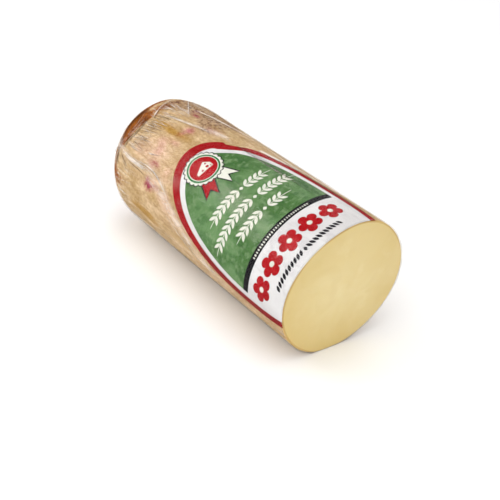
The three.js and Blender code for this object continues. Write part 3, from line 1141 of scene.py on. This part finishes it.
class Print:
    """The ink on the label, gathered as one mesh with a slot for each ink."""

    def __init__(self):
        self.inks = [
            ink_finish("white ink", colour(236, 236, 230), colour(222, 226, 216)),
            ink_finish("red ink", colour(166, 8, 20), colour(186, 30, 38)),
            ink_finish("dark ink", colour(28, 27, 34), colour(44, 42, 48)),
            ink_finish("green ink", colour(40, 116, 62), colour(62, 134, 80)),
        ]
        self.gathered = Gathered()
        self.row_tree = row_tree()

    def lay(self, points, faces, ink, level):
        """Lays flat ink on the label; a higher level lies over a lower one."""
        angle = points[:, 0] / NOMINAL_RADIUS
        along = points[:, 1]
        lift = PAPER_FRONT + INK_GAP + INK_LEVEL * level + points[:, 2] + label_relief(angle, along)
        self.gathered.add(on_wall(angle, along, lift, PAPER_FLOOR), faces, ink)

    def shape(self, outline, angle, along, ink, level, middle=(0, 0)):
        """One shape at an angle and a place along, with its rings of points round a middle of its own."""
        centre = np.array([math.radians(angle) * NOMINAL_RADIUS, along])
        self.lay(*flat_shape(outline + centre, centre + np.array(middle)), ink, level)

    def row(self, motif_shapes, angle, along, count, pitch, ink, level, widths=(1, 1), seed=0):
        """A row of one motif, from an angle, square to the log."""
        motif = flat_object("motif", motif_shapes)
        carrier = flat_object("row", motif_shapes)
        values = {
            "Motif": motif,
            "Count": count,
            "Spacing": (pitch, 0, 0),
            "Start": (math.radians(angle) * NOMINAL_RADIUS, along, 0),
            "Least Width": widths[0],
            "Most Width": widths[1],
            "Seed": seed,
            "Material": self.inks[ink],
        }
        self.lay(*grow(carrier, self.row_tree, values), ink, level)
        bpy.data.objects.remove(motif)


def add_flowers(inked):
    """Plump red flowers with white hearts, side by side in the white ground under the band."""
    flower = petalled_outline(10.4, 10.0, 5)
    heart = oval_outline(2.3, 2.3, 2, 24)
    for outline, ink, level in ((flower, RED, 0), (heart, WHITE, 1)):
        inked.row([flat_shape(outline)], angle=-88, along=26, count=5, pitch=21.4, ink=ink, level=level)


def add_leaves(inked):
    """A line of small dark leaves near the cut, which lean apart from a lozenge in their middle."""
    along = 9.8
    for angle, tilt in ((-79, 62), (-41, 118)):
        leaf = flat_shape(turn_shape(leaf_outline(6.2, 1.3), tilt))
        inked.row([leaf], angle, along, count=10, pitch=3.45, ink=DARK, level=0)
    inked.shape(oval_outline(1.5, 2.2, 1.3, 20), -44.8, along, DARK, level=0)


def add_ticks(inked):
    """Pale ticks of uneven width in the dark band."""
    tick = flat_shape(oval_outline(0.72, 1.1, 4, 12))
    uneven = {"widths": (0.5, 1.1), "seed": 5}
    inked.row([tick], angle=-72, along=44.1, count=27, pitch=2.34, ink=WHITE, level=0, **uneven)


GRAIN_LEAF = 7.6


def add_ear_of_grain(inked, start, stop, along):
    """A white stem on the green, from one angle to another, with pairs of leaves that point its way."""
    direction = 1 if stop > start else -1
    length = math.radians(abs(stop - start)) * NOMINAL_RADIUS
    pitch = 0.7 * GRAIN_LEAF
    count = max(2, int((length - 0.6 * GRAIN_LEAF) / pitch))
    leaf = leaf_outline(GRAIN_LEAF, 0.19 * GRAIN_LEAF) + np.array([GRAIN_LEAF / 2 + 0.3, 0])
    tilt = 40 if direction > 0 else 140
    pair = [flat_shape(turn_shape(leaf, side * tilt)) for side in (1, -1)]
    inked.row(pair, start, along, count, direction * pitch, WHITE, level=1)
    half_stem = direction * length / 2
    stem = oval_outline(length / 2, 0.32, 4, 60) + np.array([half_stem, 0])
    inked.shape(stem, start, along, WHITE, level=0, middle=(half_stem, 0))


def add_grain(inked):
    """White ears of grain: a row has its place along, its lozenge's angle, and two ears with theirs."""
    rows = [
        (98.5, -36, (-39, -75), (-33, -6)),
        (82.3, -35, (-38.5, -90), (-31.5, 6)),
        (66.2, -38, (-41.5, -72), (-34.5, -11)),
    ]
    for along, _, *ears in rows:
        for start, stop in ears:
            add_ear_of_grain(inked, start, stop, along)
    for along, middle, *_ in rows:
        inked.shape(oval_outline(1.8, 1.8, 1.3, 20), middle, along, WHITE, level=0)


def add_ribbon(inked, angle, along, tilt, ink):
    """A forked ribbon tail that hangs from the seal, with a dark line round it."""
    middle = turn_shape(np.array([[0, -17]]), tilt)[0]
    for margin, tone, level in ((1.1, DARK, 0), (0, ink, 1)):
        side, low = 5.6 + margin, -32 - margin
        corners = [(-side, -6), (-side, low), (0, low + 7.5 - margin), (side, low), (side, -6)]
        tail = turn_shape(straight_outline(corners, 1.2), tilt)
        inked.shape(tail, angle, along, tone, level, middle=middle)


def add_seal(inked, angle, along):
    """A scalloped seal with a wedge of holed cheese on it, over two ribbon tails."""
    for tilt, ink in ((-26, RED), (20, WHITE)):
        add_ribbon(inked, angle, along, tilt, ink)
    for radius, ink, level in ((18.6, DARK, 2), (17.6, WHITE, 3)):
        inked.shape(scalloped_outline(radius, 22), angle, along, ink, level)
    for radius, ink, level in ((15.0, GREEN, 4), (13.4, WHITE, 5), (12.6, RED, 6)):
        inked.shape(oval_outline(radius, radius, 2, 60), angle, along, ink, level)
    wedge = straight_outline([(-8.2, -3.6), (7.8, -4.4), (8.0, 0.2), (3.8, 5.6), (-8.0, -0.8)], 1.0)
    inked.shape(wedge, angle, along, WHITE, level=7, middle=(1.2, -0.8))
    for x, y, radius in ((3.2, -1.5, 1.45), (-2.2, -1.9, 1.0), (4.0, 2.3, 0.9), (6.2, -2.9, 0.7)):
        hole = oval_outline(radius, radius, 2, 20) + np.array([x, y])
        inked.shape(hole, angle, along, RED, level=8, middle=(x, y))


def make_print():
    inked = Print()
    add_flowers(inked)
    add_leaves(inked)
    add_ticks(inked)
    add_grain(inked)
    add_seal(inked, angle=-40.5, along=143.5)
    return inked.gathered.piece("label_print", finishes=inked.inks)


# The film ---------------------------------------------------------------------------------------

FILM_COLUMNS = 350
FILM_FRAY = 0.35  # how far the film's edge at the cut strays from straight
OUTSIDE, INSIDE = range(2)  # the slots of its finishes


def film_finish(name, least_haze, most_haze):
    """Clear shrink film: it mirrors at a slant, and goes milky in fine streaks where it is creased."""
    finish = Finish(name)
    creased = finish.field("creased")
    drawn = finish.field("drawn")
    hairs = finish.noise(520, 2, (1, 0.035, 1), twist=0.25)
    strands = finish.noise(190, 3, (1, 0.07, 1), twist=0.5)
    crossing = finish.noise(150, 3, (1, 0.25, 1), twist=1.2)
    loose = finish.bump(finish.noise(45, 3, (1, 0.4, 1), twist=0.5), 0.3, 0.0012)
    pulled = finish.bump(strands, finish.ramp(drawn, 0.0, 1.0, 0.06, 0.5), 0.0009, loose)
    normal = finish.bump(crossing, finish.ramp(creased, 0.0, 0.6, 0.1, 0.5), 0.0008, pulled)
    hair_lines = finish.times(finish.ramp(hairs, 0.57, 0.7), finish.ramp(drawn, 0.0, 1.0, 0.0, 0.6))
    strand_lines = finish.times(finish.ramp(strands, 0.56, 0.74), finish.ramp(drawn, 0.0, 1.0, 0.0, 0.35))
    cloudy = finish.ramp(finish.noise(160, 4, (1, 0.3, 1), twist=0.6), 0.35, 0.7, 0.35, 1.25)
    crease_milk = finish.times(finish.ramp(creased, 0.0, 1.0, least_haze, most_haze), cloudy)
    haze = finish.plus(crease_milk, finish.math("MAXIMUM", hair_lines, strand_lines))
    lit = finish.surface(colour(252, 240, 228), 0.35, Normal=normal)
    glow = finish.node("ShaderNodeBsdfTranslucent", colour(255, 240, 222), Normal=normal).outputs[0]
    veil = finish.mixed(haze, finish.clear(FILM_TINT), finish.mixed(0.12, lit, glow))
    gloss = finish.node("ShaderNodeBsdfGlossy", Color=WHITE_LIGHT, Roughness=0.11, Normal=normal).outputs[0]
    slant = finish.node("ShaderNodeFresnel", IOR=1.33, Normal=normal).outputs[0]
    tightness = finish.ramp(finish.field("slack"), 0, 1, 0.18, 0.03)
    mirror = finish.plus(finish.times(slant, tightness), 0.004)
    return finish.done(finish.mixed(mirror, veil, gloss))


def film_back_finish():
    """The side of the film that lies on the log: next to nothing is mirrored there."""
    finish = Finish("film back")
    milk = finish.surface(colour(250, 245, 238), 0.4)
    share = finish.ramp(finish.noise(90, 3), 0.3, 0.8, 0.0, 0.004)
    return finish.done(finish.mixed(share, finish.clear(FILM_TINT), milk))


def shade_finish():
    """Painted shade: a brown, part see-through strip laid where film folds under itself and turns the light
    away.
    """
    finish = Finish("shaded film")
    brown = finish.matte(colour(56, 28, 8), 0.5)
    patchy = finish.ramp(finish.noise(260, 3, (1, 0.5, 1)), 0.35, 0.65, 0.3, 0.9)
    share = finish.times(finish.field("creased"), patchy)
    return finish.done(finish.mixed(share, finish.clear(WHITE_LIGHT), brown))


def make_film():
    """A closed thin skin: the creased outside, the smoother inside, and the cut edge between them."""
    angle, distance = log_grid(FILM_COLUMNS, (0, 150, 92), (151.4, 262, 100), (263.6, WALL_END - 1.2, 42))
    inner_angle, inner_distance = log_grid(FILM_COLUMNS, (0, 205, 14), (215, WALL_END - 2.5, 14))
    height, creased = film_relief(angle, distance)
    outer = on_wall(angle, distance, FILM_OUTSIDE + swell(angle, distance) + height, FILM_FLOOR)
    frayed = FILM_FRAY * ripples(angle, 0 * angle, count=12, around=30, along=0, seed=71)
    outer[..., 1] += frayed * (1 - smooth(distance, 0, 5)) * MM
    inner_lift = FILM_INSIDE + swell(inner_angle, inner_distance)
    inner = on_wall(inner_angle, inner_distance, inner_lift, FILM_INSIDE_FLOOR)
    inner[0, :, 1] = outer[0, :, 1]
    tips = [end_tip(FILM_OUTSIDE + SEAM_HEIGHT, FILM_FLOOR), end_tip(FILM_INSIDE, FILM_INSIDE_FLOOR)]
    points = np.concatenate([outer.reshape(-1, 3), inner.reshape(-1, 3), *tips])
    first_inner = distance.size
    tip = first_inner + inner_distance.size
    ring = np.arange(FILM_COLUMNS)
    faces, slots = joined_faces(
        (grid_faces(len(outer), FILM_COLUMNS, closed=True), OUTSIDE),
        (grid_faces(len(inner), FILM_COLUMNS, first_inner, closed=True, flipped=True), INSIDE),
        (fan_faces(tip, first_inner - FILM_COLUMNS + ring), OUTSIDE),
        (fan_faces(tip + 1, tip - FILM_COLUMNS + ring, flipped=True), INSIDE),
        (edge_faces(ring, first_inner + ring), OUTSIDE),
    )
    milky_rim = 0.5 * (1 - smooth(distance, 0.2, 1.6))
    still = np.zeros(inner_distance.size)
    on_outside = {
        "creased": (np.maximum(creased, milky_rim), 0.5),
        "drawn": (drawn_lines(angle, distance), 0),
        "slack": (smooth(wall_at(distance, "along"), 230, 244), 0),
    }
    fields = {}
    for name, (values, at_tip) in on_outside.items():
        fields[name] = np.concatenate([values.ravel(), still, [at_tip, 0]])
    finishes = [film_finish("clear film", 0.004, 0.5), film_back_finish()]
    return make_object("shrink_film", points, faces, fields, slots, finishes)


# The film's pleats: raised lines of doubled film, some bright and some dark with painted shade ----------

BRIGHT, SHADED = range(2)  # the slots of their finishes
PLEAT_FLATNESS = 0.28  # a pleat's height, as a share of its width
PLEAT_STEP = 0.9


def pleat_tree():
    """Sweeps a low rounded pleat along each path on the flat sheet of wall, as wide as the path's radius."""
    pleat = Growth("pleat", [("Flatness", "Float"), ("Step", "Float")])
    given = pleat.given
    by_length = {"mode": "LENGTH"}
    spaced = pleat.node("GeometryNodeResampleCurve", settings=by_length, Curve=given["Geometry"])
    pleat.feed(spaced.inputs["Length"], given["Step"])
    upright = pleat.node("GeometryNodeSetCurveNormal", settings={"mode": "Z_UP"}, Curve=spaced.outputs[0])
    way = pleat.node("GeometryNodeSplineParameter").outputs["Factor"]
    from_end = pleat.math("MINIMUM", way, pleat.math("SUBTRACT", 1.0, way))
    swelling = pleat.ramp(from_end, 0.0, 0.35, 0.12, 1.0)
    width = pleat.times(pleat.node("GeometryNodeInputRadius").outputs[0], swelling)
    circle = pleat.node("GeometryNodeCurvePrimitiveCircle", Resolution=8, Radius=0.5)
    shape = pleat.node("ShaderNodeCombineXYZ", 1.0, given["Flatness"], 1.0)
    oval = pleat.node("GeometryNodeTransform", Geometry=circle.outputs[0], Scale=shape.outputs[0])
    swept = pleat.node(
        "GeometryNodeCurveToMesh",
        Curve=upright.outputs[0],
        Profile_Curve=oval.outputs[0],
        Scale=width,
        Fill_Caps=True,
    )
    return pleat.end(swept.outputs[0])


def pleat_strands(path, width, rng):
    """The fine lines that a fold's pleat is drawn into: each is a path beside the fold's, with its width."""
    corners = rounded_path(path)
    run = np.gradient(corners, axis=0)
    run /= np.hypot(*run.T)[:, None]
    beside = np.stack([-run[:, 1], run[:, 0]], -1)
    way = np.linspace(0, 1, len(corners))[:, None]
    for _ in range(2 + round(width / 0.25)):
        start = rng.uniform(0, 0.35)
        stop = start + rng.uniform(0.3, 0.65)
        spread = rng.normal(0, 0.5 * width)
        wander = 0.2 * np.sin(way * rng.uniform(2, 6) + rng.uniform(0, TURN))
        line = corners + beside * (spread * (0.5 + 1.4 * way) + wander)
        kept = (way[:, 0] >= start) & (way[:, 0] <= stop)
        if kept.sum() > 2:
            yield line[kept], rng.uniform(0.35, 0.85)


def end_gathers(count, angles, slants, rng):
    """Short fine wrinkles that run from the closed end's fold towards the label, between two angles."""
    for i in range(count):
        angle = angles[0] + (angles[1] - angles[0]) * (i + rng.uniform(0, 1)) / count
        length = rng.uniform(8, 26)
        slant = rng.uniform(*slants)
        start = rng.uniform(224, 232)
        way = np.linspace(0, 1, 9)
        x = np.radians(angle + slant * length * way**0.8) * NOMINAL_RADIUS
        y = distance_at(start) - length * way
        yield np.stack([x, y], -1), rng.uniform(0.2, 0.42)


def pleat_groups():
    """Groups of strands, each with its slot and how milky or how dark it is."""
    rng = np.random.default_rng(41)
    fold_end, all_round = (0.15, 0.4), (-0.3, 0.3)
    for least, most in ((0, 0.3), (0.3, 0.45), (0.45, 1)):
        bundles = [(path, width) for path, _, _, milk, width in FOLDS if width and least < milk <= most]
        strands = [strand for path, width in bundles for strand in pleat_strands(path, width, rng)]
        yield strands, BRIGHT, 0.1 + 0.5 * most
    yield end_gathers(26, (-62, -20), fold_end, rng), BRIGHT, 0.45
    yield end_gathers(60, (-180, 180), all_round, rng), BRIGHT, 0.45
    for least, most in ((0, 0.45), (0.45, 0.65), (0.65, 1)):
        lines = [(rounded_path(path), width) for path, width, dark in SHADE_LINES if least < dark <= most]
        yield lines, SHADED, most
    yield end_gathers(30, (-63, -20), fold_end, rng), SHADED, 0.62
    yield end_gathers(50, (-180, 180), all_round, rng), SHADED, 0.3


def grow_pleats(strands, tree, finish):
    """Swept pleats round the log, from flat paths with a width each."""
    curve = bpy.data.curves.new("pleat paths", "CURVE")
    curve.dimensions = "3D"
    for corners, width in strands:
        spline = curve.splines.new("POLY")
        spline.points.add(len(corners) - 1)
        for point, corner in zip(spline.points, corners):
            point.co = (*corner, 0, 1)
            point.radius = width
    carrier = bpy.data.objects.new("pleat paths", curve)
    bpy.context.scene.collection.objects.link(carrier)
    values = {"Flatness": PLEAT_FLATNESS, "Step": PLEAT_STEP, "Material": finish}
    points, faces = grow(carrier, tree, values)
    bpy.data.curves.remove(curve)
    angle = turned(points[:, 0] / NOMINAL_RADIUS)
    distance = points[:, 1]
    height, _ = film_relief(angle, distance)
    lift = FILM_OUTSIDE + swell(angle, distance) + height + points[:, 2]
    return on_wall(angle, distance, lift, FILM_FLOOR), faces


def make_pleats():
    """The folds' laid-over pleats and fine wrinkles; the dark ones are painted shade."""
    finishes = [film_finish("doubled film", 0.02, 0.68), shade_finish()]
    tree = pleat_tree()
    gathered = Gathered()
    creased = []
    for strands, slot, share in pleat_groups():
        points, faces = grow_pleats(strands, tree, finishes[slot])
        gathered.add(points, faces, slot)
        creased.append(np.full(len(points), share))
    still = np.zeros(gathered.count)
    fields = {"creased": np.concatenate(creased), "drawn": still, "slack": still}
    return gathered.piece("film_pleats", fields, finishes)


# The stage --------------------------------------------------------------------------------------

LAMP_AIM = Vector((0, 0, 0.06))
FLOOR_REACH = 6.0
FLOOR_HEIGHT = -0.05 * MM  # just clear of the film that lies on it


def add_floor():
    """A wide pale floor under the log, which fades into the white sky."""
    finish = Finish("pale floor")
    tone = finish.blend(finish.noise(3, 2), colour(250, 250, 250), colour(247, 247, 247))
    away = finish.node("ShaderNodeVectorMath", finish.coordinates, settings={"operation": "LENGTH"})
    seen = finish.node("ShaderNodeLightPath").outputs["Is Camera Ray"]
    share = finish.times(finish.ramp(away.outputs["Value"], 0.45, 1.0), seen)
    white = finish.node("ShaderNodeEmission", Color=WHITE_LIGHT, Strength=1.0).outputs[0]
    faded = finish.mixed(share, finish.surface(tone, 0.7), white)
    signs = [(-1, -1), (1, -1), (1, 1), (-1, 1)]
    corners = [(x * FLOOR_REACH, y * FLOOR_REACH, FLOOR_HEIGHT) for x, y in signs]
    make_object("floor", corners, [range(4)], finishes=[finish.done(faded)])


def add_softbox(name, direction, away, width, height, power):
    """A rectangular lamp that looks at the log from a direction."""
    lamp = bpy.data.lights.new(name, "AREA")
    lamp.shape = "RECTANGLE"
    lamp.size = width
    lamp.size_y = height
    lamp.energy = power
    holder = bpy.data.objects.new(name, lamp)
    towards = Vector(direction).normalized()
    holder.location = LAMP_AIM + towards * away
    holder.rotation_euler = (-towards).to_track_quat("-Z", "Y").to_euler()
    bpy.context.scene.collection.objects.link(holder)


def add_world():
    """A soft even sky: white to look at, dimmer as a light and in reflections."""
    world = bpy.data.worlds.new("soft sky")
    world.use_nodes = True
    sky = Nodes(world.node_tree)
    looks = [(WHITE_LIGHT, 1.0), ((1, 0.985, 0.96, 1), 0.5), (WHITE_LIGHT, 0.8)]
    seen, lighting, mirrored = [sky.node("ShaderNodeBackground", *look).outputs[0] for look in looks]
    ray = sky.node("ShaderNodeLightPath").outputs
    unseen = sky.node("ShaderNodeMixShader", ray["Is Glossy Ray"], lighting, mirrored).outputs[0]
    choice = sky.node("ShaderNodeMixShader", ray["Is Camera Ray"], unseen, seen).outputs[0]
    sky.node("ShaderNodeOutputWorld", choice)
    bpy.context.scene.world = world


CAMERA_RIGHT = Vector((0.76159, -0.62885, 0.15663))
CAMERA_UP = Vector((0.23267, 0.49091, 0.83957))
CAMERA_FORWARD = Vector((0.60485, 0.60296, -0.52019))
CAMERA_PLACE = Vector((-0.63174, -0.64952, 0.57285))
CAMERA_LENS = 87.73


def add_camera():
    lens = bpy.data.cameras.new("camera")
    lens.lens = CAMERA_LENS
    lens.sensor_width = 36
    lens.clip_start = 0.01
    holder = bpy.data.objects.new("camera", lens)
    turn = Matrix((CAMERA_RIGHT, CAMERA_UP, -CAMERA_FORWARD)).transposed()
    holder.matrix_world = Matrix.Translation(CAMERA_PLACE) @ turn.to_4x4()
    bpy.context.scene.collection.objects.link(holder)
    bpy.context.scene.camera = holder


def add_piece(piece, slot, *solids):
    """Every piece rides on the one body, and the solids that it stands for are hidden; the slot is not used.
    """
    if solids:
        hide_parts(*solids)
    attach(piece, "root")


add_piece(make_cheese(), "cheese", "cheese")
add_piece(make_label(), "label", "label")
add_piece(make_print(), "label")
add_piece(make_film(), "film", "film")
add_piece(make_pleats(), "film")

add_floor()
add_softbox("back left softbox", (-0.62, 0.62, 0.62), 1.1, 0.9, 0.6, 5.5)
add_softbox("overhead softbox", (-0.1, -0.1, 1), 1.2, 1.2, 1.2, 6.6)
add_softbox("left softbox", (-1, -0.3, 0.4), 1.3, 1.2, 0.8, 6.2)
add_softbox("right softbox", (1, 0.5, 0.9), 1.3, 1.0, 1.0, 4.4)
add_softbox("front softbox", (0.2, -1, 0.5), 1.5, 1.2, 0.8, 2.5)
add_world()
add_camera()
bpy.context.scene.view_settings.view_transform = "Standard"
